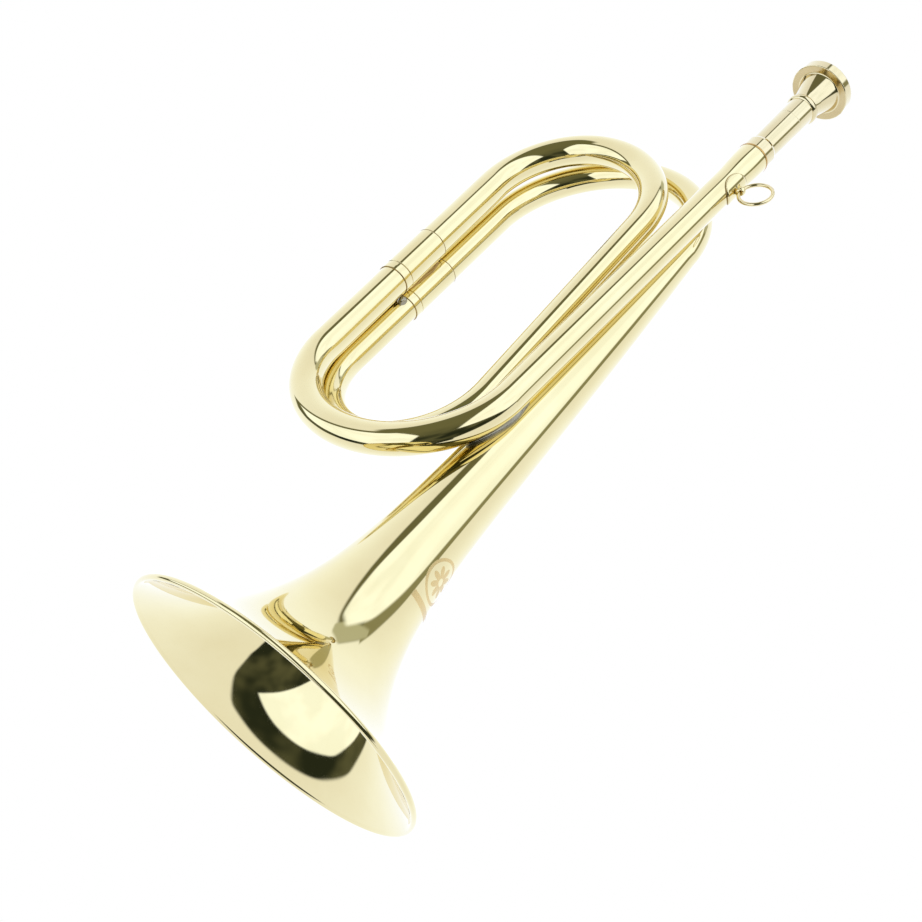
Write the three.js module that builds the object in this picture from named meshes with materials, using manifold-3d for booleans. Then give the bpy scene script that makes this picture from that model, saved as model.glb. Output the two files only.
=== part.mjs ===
// A bugle: one brass tube, wound twice round a long loop, from the mouthpiece to the bell.
// Millimetres, +Z up. It stands on its bell, and the loop lies to the -X side of the bell.
// The bell's axis is x = 0, y = 0 while the pieces are made; the last lines centre the whole object.
import * as THREE from "three";
import { mergeVertices } from "three/addons/utils/BufferGeometryUtils.js";
import Module from "manifold-3d";

const wasm = await Module();
wasm.setup();

// ---- Driving dimensions ----

const SHEET = 0.5; // wall of the drawn tubes and of the spun bell
const GAP = 0.3; // clearance between two separate pieces that meet

// Bell: its outer radius falls fast in the flare, then slowly along the tail.
const MOUTH_RADIUS = 61.5;
const FLARE_DECAY = 24.4; // height over which the flare narrows by a factor of e
const THROAT_SWELL = 9.2; // what the tail adds to the tube's radius at the bell's foot
const TAIL_POWER = 1.9;
const TAIL_TOP = 255.5; // height where the tail has shrunk to the bow's radius
const THROAT_SEAM = 120; // height of the brazed seam between flare and branch
const FLARE_START = 3; // height where the flare leaves the rolled bead

// Rolled bead of the bell's mouth, with its wire core.
const BEAD_RADIUS = 1.2;
const WIRE_RADIUS = 0.4;
const BEAD_END_ANGLE = 150; // degrees round the bead's own centre, where the curled edge ends

// Outer radii of the tube along its way.
const LEAD_RADIUS = 6.35;
const FRONT_RADIUS = 7.0; // front left straight
const MIDDLE_RADIUS = 6.25; // straight on the inner side of the loop
const REAR_RADIUS = 6.4; // rear left straight
const TAIL_RADIUS = MOUTH_RADIUS - THROAT_SWELL - 45.8; // where the tail meets the rear top bow

// Where each straight run starts and ends: centre line points, lower end first.
const LEAD_FOOT = new THREE.Vector3(0.9, -20.0, 141.9);
const LEAD_HEAD = new THREE.Vector3(5.2, -13.3, 340);
const FRONT_LOW = new THREE.Vector3(-91.2, -17.8, 137.7);
const FRONT_HIGH = new THREE.Vector3(-97.6, -12.2, 255.7);
const MIDDLE_LOW = new THREE.Vector3(-16.6, -10.1, 147.5);
const MIDDLE_HIGH = new THREE.Vector3(-16.8, -12.6, 250.9);
const REAR_LOW = new THREE.Vector3(-90.7, -3.4, 146.3);
const REAR_HIGH = new THREE.Vector3(-95.5, 2.7, 252.3);
const TAIL_HEAD = new THREE.Vector3(0, 0, TAIL_TOP);

// How far each bow reaches past the middle of the line between its two ends.
const FRONT_BOTTOM_DEPTH = 39.2;
const FRONT_TOP_DEPTH = 41.8;
const REAR_BOTTOM_DEPTH = 36.3;
const REAR_TOP_DEPTH = 47.6;

// Ferrules: heights of their lower end, of the groove and of their upper end.
const FERRULE_LOW = 182.2;
const FERRULE_GROOVE = 186.4;
const FERRULE_HIGH = 209.8;
const FERRULE_PROUD = 0.3; // how far a ferrule stands out from the tube
const GROOVE_DEPTH = 0.2;
const GROOVE_HALF_WIDTH = 0.4;
const SPIGOT_STEP = 0.4; // how much a tube is drawn down inside its ferrule
const SHOULDER_LENGTH = 0.05; // length over which it is drawn down
const JOINT_HEIGHT = 196; // where the two tube ends meet inside a ferrule

// Receiver and mouthpiece, as distances along the leadpipe's axis from LEAD_FOOT.
const LEAD_FLARE = 150.5; // the leadpipe starts to widen
const LEAD_SOCKET = 159.5; // and has its full socket radius
const LEAD_END = 165.2;
const SOCKET_RADIUS = 7.1;
const RECEIVER_RING_LENGTH = 0.9;
const RECEIVER_RING_PROUD = 0.1;
const RECEIVER_RING_LIP = 0.4; // how far the ring's hole is smaller than the sleeve
const SLEEVE_FOOT = 146;
const SLEEVE_MOUTH = 173.6;
const SLEEVE_RADIUS = 6.85;
const SLEEVE_BEVEL = 1.4;
const SLEEVE_LIP = 0.15; // flat edge of the sleeve's mouth
const SLEEVE_FOOT_LIP = 0.6; // how far the sleeve's foot reaches in under the shank
const SHANK_FOOT = 151;
const SHANK_FOOT_RADIUS = 5.1;
const SHANK_MOUTH_RADIUS = 6.0; // where the shank enters the sleeve
const SHANK_TOP_RADIUS = 6.3;
const SHANK_FOOT_WALL = 0.9;
const SHANK_TOP_WALL = 3.5; // the backbore narrows towards the throat
const CUP_FOOT = 204.6; // lower edge of the bead at the throat
const BEAD_LENGTH = 3.6;
const THROAT_BEAD_RADIUS = 7.2;
const CUP_NECK_RADIUS = 6.2;
const RIM_BACK = 220.6;
const RIM_THICKNESS = 5.1;
const RIM_RADIUS = 13.2;
const CUP_OUTER_RADIUS = 9.5; // where the cup meets the back of the rim
const CUP_BORE_RADIUS = 8.2;
const CUP_DEPTH = 9.5;
const CUP_FLANK_POWER = 1.35; // 1 would be a straight cone; more makes the flank concave
const RIM_EDGE = 0.8; // bevel of the rim's front edges
const RIM_BACK_EDGE = 0.3;
const THROAT_BORE_RADIUS = 1.9;

// Sling ring and its saddle, as a distance along the leadpipe's axis.
const SLING_HEIGHT = 143.5;
const SLING_RADIUS = 6.9; // centre line of the ring
const SLING_WIRE = 0.8;
const EYELET_HOLE = 1.1;
const EYELET_RADIUS = 1.9;
const EYELET_LENGTH = 2.2;
const SADDLE_SHEET = 0.45;
const SADDLE_LENGTH = 14;
const SADDLE_SPREAD = 62; // degrees round the leadpipe on each side of the eyelet
const SADDLE_HALF_WIDTH = 5.74; // half the width of the plate's oval, seen from the eyelet's side

// Solder: the middle of each drop and its half sizes, before the tubes cut it back.
const FILLET = { centre: [2.4, -12.6, 138], half: [2.4, 2.6, 12] };
const FERRULE_SEAM = { centre: [-92, -7.3, 197], half: [2.1, 2.4, 11] };
const SOLDER_DROP = { centre: [-89.6, -7.4, 180], half: [2, 2.4, 2.4] };

// How round the faceted pieces are.
const TUBE_SIDES = 16;
const TURNED_SIDES = 32;
const BELL_SIDES = 48;
const BOW_STEPS = 9; // per quarter turn

const direction = (from, to) => to.clone().sub(from).normalize();
const LEAD_AXIS = direction(LEAD_FOOT, LEAD_HEAD);
const FRONT_DOWN = direction(FRONT_HIGH, FRONT_LOW);
const REAR_DOWN = direction(REAR_HIGH, REAR_LOW);
const MIDDLE_UP = direction(MIDDLE_LOW, MIDDLE_HIGH);
const UP = new THREE.Vector3(0, 0, 1);
const EYELET_OUT = LEAD_RADIUS + GAP + SADDLE_SHEET + GAP + EYELET_HOLE;

const brass = (color, roughness) => new THREE.MeshStandardMaterial({ color, roughness, metalness: 1 });
const LACQUERED = () => brass(0xe3cf7c, 0.12);
const GOLDEN = () => brass(0xd9ae3e, 0.25);
const SATIN = () => brass(0xc9ac5c, 0.4);
const SOLDER = () => new THREE.MeshStandardMaterial({ color: 0x8c8a80, roughness: 0.5, metalness: 0.8 });

// ---- Ways to make a solid ----

function piece(name, geometry, material) {
  const mesh = new THREE.Mesh(geometry, material);
  mesh.name = name;
  return mesh;
}

// Turns a closed outline of [radius, height] points about +Z. The outline runs up its outer side.
function turned(outline, sides) {
  const points = [...outline, outline[0]].map(([radius, height]) => new THREE.Vector2(radius, height));
  return new THREE.LatheGeometry(points, sides).rotateX(Math.PI / 2);
}

// Stations of a U-bend: two quarter curves that leave each straight run along its own direction.
// The first station lies a gap beyond the end of the straight run.
function bow(from, fromDirection, to, toDirection, depth) {
  const ROUND = 0.5523; // handle length of a cubic curve that follows a quarter circle
  const outward = fromDirection.clone().sub(toDirection).normalize();
  const across = to.clone().sub(from).multiplyScalar(0.5);
  const top = from.clone().add(across).addScaledVector(outward, depth);
  const first = new THREE.CubicBezierCurve3(
    from,
    from.clone().addScaledVector(fromDirection, ROUND * depth),
    top.clone().addScaledVector(across, -ROUND),
    top,
  );
  const second = new THREE.CubicBezierCurve3(
    top,
    top.clone().addScaledVector(across, ROUND),
    to.clone().addScaledVector(toDirection, -ROUND * depth),
    to,
  );
  const steps = Array.from({ length: BOW_STEPS }, (_, i) => (i + 1) / BOW_STEPS);
  const start = { at: from.clone().addScaledVector(fromDirection, GAP), along: fromDirection };
  const curved = [first, second].flatMap((curve) =>
    steps.map((t) => ({ at: curve.getPoint(t), along: curve.getTangent(t) })),
  );
  return [start, ...curved];
}

// Gives a run of stations their outer radius, changing evenly from one value to another.
function taper(stations, startRadius, endRadius) {
  const last = Math.max(stations.length - 1, 1);
  return stations.map((station, i) => ({
    ...station,
    outer: THREE.MathUtils.lerp(startRadius, endRadius, i / last),
  }));
}

// A solid turned straight, one ring for each station {at, along, outer}, and then bent: every ring
// is set square to the way the tube runs there. The outline is [radius, number of the station].
function bent(stations, outline) {
  const points = outline.map(([radius, i]) => new THREE.Vector2(radius, i));
  const geometry = new THREE.LatheGeometry(points, TUBE_SIDES);
  const position = geometry.getAttribute("position");
  const frames = stations.map(({ at, along }) => {
    const side = new THREE.Vector3(0, 1, 0);
    side.addScaledVector(along, -side.dot(along)).normalize();
    return { at, side, other: side.clone().cross(along) };
  });
  const moved = new THREE.Vector3();
  for (let i = 0; i < position.count; i++) {
    const { at, side, other } = frames[Math.round(position.getY(i))];
    moved.copy(at).addScaledVector(side, position.getX(i)).addScaledVector(other, position.getZ(i));
    position.setXYZ(i, moved.x, moved.y, moved.z);
  }
  return geometry;
}

function tube(stations) {
  const outside = stations.map(({ outer }, i) => [outer, i]);
  const inside = stations.map(({ outer }, i) => [outer - SHEET, i]);
  return bent(stations, [...outside, ...inside.reverse(), outside[0]]);
}

// The room a tube takes up, with clearance round it. It is used only to cut solder back.
function room(stations) {
  const outside = stations.map(({ outer }, i) => [outer + GAP, i]);
  return bent(stations, [[0, 0], ...outside, [0, stations.length - 1]]);
}

// A straight run's point at a given height.
function atHeight(low, high, height) {
  return low.clone().lerp(high, (height - low.z) / (high.z - low.z));
}

// The spigot at the end of a tube inside a ferrule. It runs along a straight, upwards or downwards:
// two stations draw the tube down at the shoulder, and a third is the spigot's end.
function spigot(low, high, shoulder, end, radius, along) {
  const step = Math.sign(end - shoulder) * SHOULDER_LENGTH;
  return [
    { at: atHeight(low, high, shoulder), along, outer: radius },
    { at: atHeight(low, high, shoulder + step), along, outer: radius - SPIGOT_STEP },
    { at: atHeight(low, high, end), along, outer: radius - SPIGOT_STEP },
  ];
}

// The spigot that leaves a lower tube upwards, and the one that leaves an upper tube downwards.
function lowerSpigot(low, high, radius, down) {
  return spigot(low, high, FERRULE_LOW - GAP, JOINT_HEIGHT - GAP / 2, radius, down).reverse();
}

function upperSpigot(low, high, radius, down) {
  return spigot(low, high, FERRULE_HIGH + GAP, JOINT_HEIGHT + GAP / 2, radius, down);
}

// Places a piece made about +Z on a line, with its zero at a given point.
function placeOn(mesh, origin, axis) {
  mesh.position.copy(origin);
  mesh.quaternion.setFromUnitVectors(new THREE.Vector3(0, 0, 1), axis);
  return mesh;
}

// A closed geometry as a solid that can be joined and cut, and the way back.
function solid(geometry) {
  const bare = geometry.clone();
  bare.deleteAttribute("normal");
  bare.deleteAttribute("uv");
  const merged = mergeVertices(bare.index ? bare.toNonIndexed() : bare, 1e-4);
  return new wasm.Manifold(
    new wasm.Mesh({
      numProp: 3,
      vertProperties: new Float32Array(merged.attributes.position.array),
      triVerts: new Uint32Array(merged.index.array),
    }),
  );
}

function geometryOf(manifold) {
  const { vertProperties, triVerts } = manifold.getMesh();
  return new THREE.BufferGeometry()
    .setAttribute("position", new THREE.BufferAttribute(vertProperties, 3))
    .setIndex(new THREE.BufferAttribute(triVerts, 1));
}

// ---- Bell ----

function bellRadius(height) {
  const flare = MOUTH_RADIUS - TAIL_RADIUS - THROAT_SWELL;
  const swell = THROAT_SWELL * (1 - (height / TAIL_TOP) ** TAIL_POWER);
  return TAIL_RADIUS + swell + flare * Math.exp(-height / FLARE_DECAY);
}

// The point under the sheet, square to the bell's outer surface at a height.
function bellInside(height) {
  const slope = (bellRadius(height + 0.01) - bellRadius(height - 0.01)) / 0.02;
  const length = Math.hypot(1, slope);
  return [bellRadius(height) - SHEET / length, height + (SHEET * slope) / length];
}

// Corners of an eight-sided ring of the given half width about the bead's centre. One flat lies
// at the very bottom, and the bell stands on it.
function beadCorners(halfWidth, angles) {
  const corner = halfWidth / Math.cos(Math.PI / 8);
  return angles.map((degrees) => {
    const angle = THREE.MathUtils.degToRad(degrees);
    return [
      MOUTH_RADIUS - BEAD_RADIUS + corner * Math.cos(angle),
      BEAD_RADIUS + corner * Math.sin(angle),
    ];
  });
}

function bellFlare() {
  const rows = 13;
  const heights = Array.from(
    { length: rows + 1 },
    (_, i) => FLARE_START + (THROAT_SEAM - FLARE_START) * (i / rows) ** 1.7,
  );
  const curl = [-112.5, -67.5, -22.5, 22.5, 67.5, 112.5, BEAD_END_ANGLE];
  return turned(
    [
      ...beadCorners(BEAD_RADIUS, curl),
      ...beadCorners(BEAD_RADIUS - SHEET, curl).reverse(),
      ...heights.map((height) => [bellRadius(height), height]),
      [bellRadius(THROAT_SEAM) - SHEET, THROAT_SEAM],
      ...heights.slice(0, -1).map(bellInside).reverse(),
    ],
    BELL_SIDES,
  );
}

function bellRimWire() {
  const around = Array.from({ length: 8 }, (_, i) => -157.5 + 45 * i);
  return turned(beadCorners(WIRE_RADIUS, around), BELL_SIDES);
}

// The tail of the bell, from the throat seam to the rear top bow.
function bellTail() {
  const rows = 7;
  const start = THROAT_SEAM + GAP;
  const stations = Array.from({ length: rows + 1 }, (_, i) => {
    const height = THREE.MathUtils.lerp(start, TAIL_TOP, i / rows);
    return { at: new THREE.Vector3(0, 0, height), along: UP, outer: bellRadius(height) };
  });
  return tube(stations);
}

// ---- Tubes of the loop, from the bell back to the leadpipe ----

function rearTopBow() {
  const overhead = bow(TAIL_HEAD, UP, REAR_HIGH, REAR_DOWN, REAR_TOP_DEPTH);
  return tube([
    ...taper(overhead, TAIL_RADIUS, REAR_RADIUS),
    ...upperSpigot(REAR_LOW, REAR_HIGH, REAR_RADIUS, REAR_DOWN),
  ]);
}

function rearBottomBow() {
  const under = bow(REAR_LOW, REAR_DOWN, MIDDLE_LOW, MIDDLE_UP, REAR_BOTTOM_DEPTH);
  return tube([
    ...lowerSpigot(REAR_LOW, REAR_HIGH, REAR_RADIUS, REAR_DOWN),
    ...taper(under, REAR_RADIUS, MIDDLE_RADIUS),
  ]);
}

function middleStraight() {
  const start = MIDDLE_LOW.clone().addScaledVector(MIDDLE_UP, GAP);
  return tube([start, MIDDLE_HIGH].map((at) => ({ at, along: MIDDLE_UP, outer: MIDDLE_RADIUS })));
}

function frontTopBow() {
  const overhead = bow(MIDDLE_HIGH, MIDDLE_UP, FRONT_HIGH, FRONT_DOWN, FRONT_TOP_DEPTH);
  return tube([
    ...taper(overhead, MIDDLE_RADIUS, FRONT_RADIUS),
    ...upperSpigot(FRONT_LOW, FRONT_HIGH, FRONT_RADIUS, FRONT_DOWN),
  ]);
}

function frontBottomStations() {
  const under = bow(FRONT_LOW, FRONT_DOWN, LEAD_FOOT, LEAD_AXIS, FRONT_BOTTOM_DEPTH);
  return taper(under, FRONT_RADIUS, LEAD_RADIUS);
}

function frontBottomBow() {
  return tube([
    ...lowerSpigot(FRONT_LOW, FRONT_HIGH, FRONT_RADIUS, FRONT_DOWN),
    ...frontBottomStations(),
  ]);
}

// A sleeve over a tube joint, with a grooved band at its lower end.
function ferrule(radius) {
  const outer = radius + FERRULE_PROUD;
  const inner = radius - SPIGOT_STEP + GAP;
  const groove = FERRULE_GROOVE - FERRULE_LOW;
  const length = FERRULE_HIGH - FERRULE_LOW;
  return turned(
    [
      [inner, 0],
      [outer, 0],
      [outer, groove - GROOVE_HALF_WIDTH],
      [outer - GROOVE_DEPTH, groove],
      [outer, groove + GROOVE_HALF_WIDTH],
      [outer, length],
      [inner, length],
    ],
    TURNED_SIDES,
  );
}

function placeFerrule(mesh, low, high) {
  return placeOn(mesh, atHeight(low, high, FERRULE_LOW), direction(low, high));
}

// ---- Leadpipe, receiver and mouthpiece ----

function alongLead(distance) {
  return LEAD_FOOT.clone().addScaledVector(LEAD_AXIS, distance);
}

// The leadpipe, from the front bottom bow to the end of the socket for the receiver.
function leadpipe() {
  const stations = [
    [GAP, LEAD_RADIUS],
    [LEAD_FLARE, LEAD_RADIUS],
    [LEAD_SOCKET, SOCKET_RADIUS],
    [LEAD_END, SOCKET_RADIUS],
  ].map(([distance, outer]) => ({ at: alongLead(distance), along: LEAD_AXIS, outer }));
  return tube(stations);
}

function receiverRing() {
  const foot = LEAD_END + GAP;
  const inner = SLEEVE_RADIUS - RECEIVER_RING_LIP + GAP;
  const outer = SOCKET_RADIUS + RECEIVER_RING_PROUD;
  return turned(
    [
      [inner, foot],
      [outer, foot],
      [outer, foot + RECEIVER_RING_LENGTH],
      [inner, foot + RECEIVER_RING_LENGTH],
    ],
    TURNED_SIDES,
  );
}

// Radius of the mouthpiece shank at a distance along the axis.
function shankRadius(distance) {
  if (distance < SLEEVE_MOUTH) {
    const t = (distance - SHANK_FOOT) / (SLEEVE_MOUTH - SHANK_FOOT);
    return THREE.MathUtils.lerp(SHANK_FOOT_RADIUS, SHANK_MOUTH_RADIUS, t);
  }
  const t = (distance - SLEEVE_MOUTH) / (CUP_FOOT - SLEEVE_MOUTH);
  return THREE.MathUtils.lerp(SHANK_MOUTH_RADIUS, SHANK_TOP_RADIUS, t);
}

// The sleeve inside the leadpipe's socket, with the tapered seat for the shank.
function receiverSleeve() {
  const hidden = SOCKET_RADIUS - SHEET - GAP;
  const neck = LEAD_RADIUS - SHEET - GAP;
  const shoulder = LEAD_END + GAP + RECEIVER_RING_LENGTH + GAP;
  const seat = (distance) => shankRadius(distance) + GAP;
  const footBore = SHANK_FOOT_RADIUS - SLEEVE_FOOT_LIP;
  return turned(
    [
      [footBore, SLEEVE_FOOT],
      [neck, SLEEVE_FOOT],
      [neck, LEAD_FLARE - GAP],
      [hidden, LEAD_SOCKET],
      [hidden, shoulder],
      [SLEEVE_RADIUS, shoulder],
      [SLEEVE_RADIUS, SLEEVE_MOUTH - SLEEVE_BEVEL],
      [seat(SLEEVE_MOUTH) + SLEEVE_LIP, SLEEVE_MOUTH],
      [seat(SLEEVE_MOUTH), SLEEVE_MOUTH],
      [seat(SHANK_FOOT), SHANK_FOOT - GAP],
      [footBore, SHANK_FOOT - 2 * GAP],
    ],
    TURNED_SIDES,
  );
}

function mouthpieceShank() {
  const top = CUP_FOOT - GAP;
  return turned(
    [
      [SHANK_FOOT_RADIUS - SHANK_FOOT_WALL, SHANK_FOOT],
      [SHANK_FOOT_RADIUS, SHANK_FOOT],
      [SHANK_MOUTH_RADIUS, SLEEVE_MOUTH],
      [shankRadius(top), top],
      [shankRadius(top) - SHANK_TOP_WALL, top],
    ],
    TURNED_SIDES,
  );
}

// The turned cup: a bead at its foot, a concave flank, a broad rim and the bowl inside.
function mouthpieceCup() {
  const front = RIM_BACK + RIM_THICKNESS;
  const beadTop = CUP_FOOT + BEAD_LENGTH;
  const beadMiddle = CUP_FOOT + BEAD_LENGTH / 2;
  const bead = [-80, -40, 0, 40, 80].map((degrees) => {
    const angle = THREE.MathUtils.degToRad(degrees);
    const proud = THROAT_BEAD_RADIUS - CUP_NECK_RADIUS;
    return [CUP_NECK_RADIUS + proud * Math.cos(angle), beadMiddle + (BEAD_LENGTH / 2) * Math.sin(angle)];
  });
  const flank = [0.25, 0.5, 0.75].map((t) => [
    THREE.MathUtils.lerp(CUP_NECK_RADIUS, CUP_OUTER_RADIUS, t ** CUP_FLANK_POWER),
    THREE.MathUtils.lerp(beadTop, RIM_BACK, t),
  ]);
  const bowl = [0, 25, 50, 75].map((degrees) => {
    const angle = THREE.MathUtils.degToRad(degrees);
    return [CUP_BORE_RADIUS * Math.cos(angle), front - RIM_EDGE - (CUP_DEPTH - RIM_EDGE) * Math.sin(angle)];
  });
  return turned(
    [
      [THROAT_BORE_RADIUS, CUP_FOOT],
      ...bead,
      [CUP_NECK_RADIUS, beadTop],
      ...flank,
      [CUP_OUTER_RADIUS, RIM_BACK],
      [RIM_RADIUS - RIM_BACK_EDGE, RIM_BACK],
      [RIM_RADIUS, RIM_BACK + RIM_BACK_EDGE],
      [RIM_RADIUS, front - RIM_EDGE],
      [RIM_RADIUS - RIM_EDGE, front],
      [CUP_BORE_RADIUS + RIM_EDGE, front],
      ...bowl,
      [THROAT_BORE_RADIUS, front - CUP_DEPTH - RIM_EDGE],
    ],
    TURNED_SIDES,
  );
}

// ---- Sling ring ----

// A curved plate that hugs the leadpipe, with a pierced lug on its outer side. It is made about the
// leadpipe's axis, which is +Z here, with the lug towards +X.
function slingSaddle() {
  const inner = LEAD_RADIUS + GAP;
  const spread = THREE.MathUtils.degToRad(SADDLE_SPREAD);
  const plate = new THREE.Shape();
  plate.absarc(0, 0, inner + SADDLE_SHEET, -spread, spread, false);
  plate.absarc(0, 0, inner, spread, -spread, true);
  const sheet = new THREE.ExtrudeGeometry(plate, {
    depth: SADDLE_LENGTH,
    bevelEnabled: false,
    curveSegments: 10,
  }).translate(0, 0, -SADDLE_LENGTH / 2);
  const lug = new THREE.Shape();
  lug.absarc(EYELET_OUT, 0, EYELET_RADIUS, -Math.PI * 0.75, Math.PI * 0.75, false);
  lug.lineTo(inner + SADDLE_SHEET / 2, EYELET_RADIUS * 1.2);
  lug.lineTo(inner + SADDLE_SHEET / 2, -EYELET_RADIUS * 1.2);
  const eyelet = new THREE.ExtrudeGeometry(lug, {
    depth: EYELET_LENGTH,
    bevelEnabled: false,
    curveSegments: 12,
  }).translate(0, 0, -EYELET_LENGTH / 2);
  const hole = new THREE.CylinderGeometry(EYELET_HOLE, EYELET_HOLE, EYELET_LENGTH * 2, 16)
    .rotateX(Math.PI / 2)
    .translate(EYELET_OUT, 0, 0);
  const oval = new THREE.CylinderGeometry(1, 1, 2 * LEAD_RADIUS, TURNED_SIDES)
    .rotateZ(Math.PI / 2)
    .scale(1, SADDLE_HALF_WIDTH, SADDLE_LENGTH / 2)
    .translate(LEAD_RADIUS, 0, 0);
  const trimmed = solid(sheet).intersect(solid(oval));
  return geometryOf(trimmed.add(solid(eyelet)).subtract(solid(hole)));
}

// The ring lies in the loop's plane, towards +X, with its wire through the eyelet.
function slingRing() {
  return new THREE.TorusGeometry(SLING_RADIUS, SLING_WIRE, 8, 24)
    .rotateX(Math.PI / 2)
    .translate(EYELET_OUT + SLING_RADIUS, 0, 0);
}

// ---- Solder ----

// A rounded drop of solder, cut back where tubes pass. Only the largest piece is kept.
function solder({ centre, half }, rooms) {
  const drop = new THREE.SphereGeometry(1, 16, 10).scale(...half).translate(...centre);
  const cut = rooms.reduce((body, geometry) => body.subtract(solid(geometry)), solid(drop));
  const [largest] = cut.decompose().sort((a, b) => b.volume() - a.volume());
  return geometryOf(largest);
}

function straightRoom(low, high, radius) {
  const along = direction(low, high);
  return room([low, high].map((at) => ({ at, along, outer: radius })));
}

// The room of the left straights, with their ferrules where the given amount is how far they stand out.
function leftRooms(proud) {
  return [
    straightRoom(FRONT_LOW, FRONT_HIGH, FRONT_RADIUS + proud),
    straightRoom(REAR_LOW, REAR_HIGH, REAR_RADIUS + proud),
  ];
}

function tailRoom() {
  const middle = FILLET.centre[2];
  const reach = 2 * FILLET.half[2];
  const heights = [middle - reach, middle, middle + reach];
  return room(heights.map((height) => ({
    at: new THREE.Vector3(0, 0, height),
    along: UP,
    outer: bellRadius(height),
  })));
}

// The fillet where the foot of the leadpipe rests against the bell.
function solderLeadpipe() {
  const lead = { at: LEAD_HEAD, along: LEAD_AXIS, outer: LEAD_RADIUS };
  return solder(FILLET, [room([...frontBottomStations(), lead]), tailRoom()]);
}

// The seam between the two ferrules, on the side that faces the bell.
function solderFerrules() {
  return solder(FERRULE_SEAM, leftRooms(FERRULE_PROUD));
}

// The bead of solder that ran down below the ferrules.
function solderBead() {
  return solder(SOLDER_DROP, leftRooms(0));
}

// ---- The whole object ----

const bugle = new THREE.Group();
bugle.add(piece("bell_flare", bellFlare(), LACQUERED()));
bugle.add(piece("bell_rim_wire", bellRimWire(), SATIN()));
bugle.add(piece("bell_tail", bellTail(), LACQUERED()));
bugle.add(piece("rear_top_bow", rearTopBow(), LACQUERED()));
bugle.add(piece("rear_bottom_bow", rearBottomBow(), LACQUERED()));
bugle.add(piece("middle_straight", middleStraight(), LACQUERED()));
bugle.add(piece("front_top_bow", frontTopBow(), LACQUERED()));
bugle.add(piece("front_bottom_bow", frontBottomBow(), LACQUERED()));
bugle.add(piece("leadpipe", leadpipe(), LACQUERED()));
bugle.add(placeFerrule(piece("front_ferrule", ferrule(FRONT_RADIUS), LACQUERED()), FRONT_LOW, FRONT_HIGH));
bugle.add(placeFerrule(piece("rear_ferrule", ferrule(REAR_RADIUS), LACQUERED()), REAR_LOW, REAR_HIGH));

const onLead = new THREE.Group();
placeOn(onLead, LEAD_FOOT, LEAD_AXIS);
onLead.add(piece("receiver_ring", receiverRing(), GOLDEN()));
onLead.add(piece("receiver_sleeve", receiverSleeve(), LACQUERED()));
onLead.add(piece("mouthpiece_shank", mouthpieceShank(), LACQUERED()));
onLead.add(piece("mouthpiece_cup", mouthpieceCup(), LACQUERED()));
for (const mesh of [
  piece("sling_saddle", slingSaddle(), LACQUERED()),
  piece("sling_ring", slingRing(), LACQUERED()),
]) {
  mesh.position.z = SLING_HEIGHT;
  onLead.add(mesh);
}
bugle.add(onLead);

bugle.add(piece("solder_leadpipe", solderLeadpipe(), SOLDER()));
bugle.add(piece("solder_ferrules", solderFerrules(), SOLDER()));
bugle.add(piece("solder_bead", solderBead(), SOLDER()));

// The origin is at the middle of the base of the object's box.
const box = new THREE.Box3().setFromObject(bugle, true);
bugle.position.set(-(box.min.x + box.max.x) / 2, -(box.min.y + box.max.y) / 2, -box.min.z);

export default bugle;
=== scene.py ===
"""A polished brass bugle over the CAD frame: smooth tubes, spun bell, turned mouthpiece and sling ring."""
import math
import random

import bpy
from mathutils import Matrix, Vector


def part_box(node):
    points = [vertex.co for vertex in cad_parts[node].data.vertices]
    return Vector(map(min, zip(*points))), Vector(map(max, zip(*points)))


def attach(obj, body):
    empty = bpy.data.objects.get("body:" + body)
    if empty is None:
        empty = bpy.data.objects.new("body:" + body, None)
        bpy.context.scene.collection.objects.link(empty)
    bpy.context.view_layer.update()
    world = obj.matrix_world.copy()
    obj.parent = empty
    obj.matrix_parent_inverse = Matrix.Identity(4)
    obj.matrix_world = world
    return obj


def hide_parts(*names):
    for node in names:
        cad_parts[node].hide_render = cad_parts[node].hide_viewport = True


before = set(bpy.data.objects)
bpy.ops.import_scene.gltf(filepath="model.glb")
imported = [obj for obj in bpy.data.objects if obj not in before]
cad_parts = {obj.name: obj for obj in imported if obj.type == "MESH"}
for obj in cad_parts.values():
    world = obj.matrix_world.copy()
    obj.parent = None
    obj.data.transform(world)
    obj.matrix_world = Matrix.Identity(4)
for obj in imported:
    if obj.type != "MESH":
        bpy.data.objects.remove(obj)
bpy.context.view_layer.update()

# ---- Dimensions, in millimetres. The bell's axis is x = 0, y = 0 here; place() moves it. ----
SHEET = 0.5
MOUTH_R = 61.5
TAIL_R = 6.5
SWELL = 9.2
DECAY = 24.4
TAIL_POWER = 1.9
TAIL_TOP = 255.5
LEAD_R = 6.35
FRONT_R = 7.0
MIDDLE_R = 6.25
REAR_R = 6.4
LEAD_FOOT = Vector((0.9, -20.0, 141.9))
LEAD_HEAD = Vector((5.2, -13.3, 340.0))
FRONT_LOW = Vector((-91.2, -17.8, 137.7))
FRONT_HIGH = Vector((-97.6, -12.2, 255.7))
MIDDLE_LOW = Vector((-16.6, -10.1, 147.5))
MIDDLE_HIGH = Vector((-16.8, -12.6, 250.9))
REAR_LOW = Vector((-90.7, -3.4, 146.3))
REAR_HIGH = Vector((-95.5, 2.7, 252.3))
TAIL_HEAD = Vector((0, 0, TAIL_TOP))
FERRULE_LOW, FERRULE_GROOVE, FERRULE_HIGH = 182.2, 186.4, 209.8
PROUD = 0.3
LEAD_BOW, LOOP_LOW_BOW, LOOP_TOP_BOW, BELL_BOW = 39.2, 36.3, 41.8, 47.6
BEAD_R = 1.2
HORN_JOIN = 120
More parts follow.
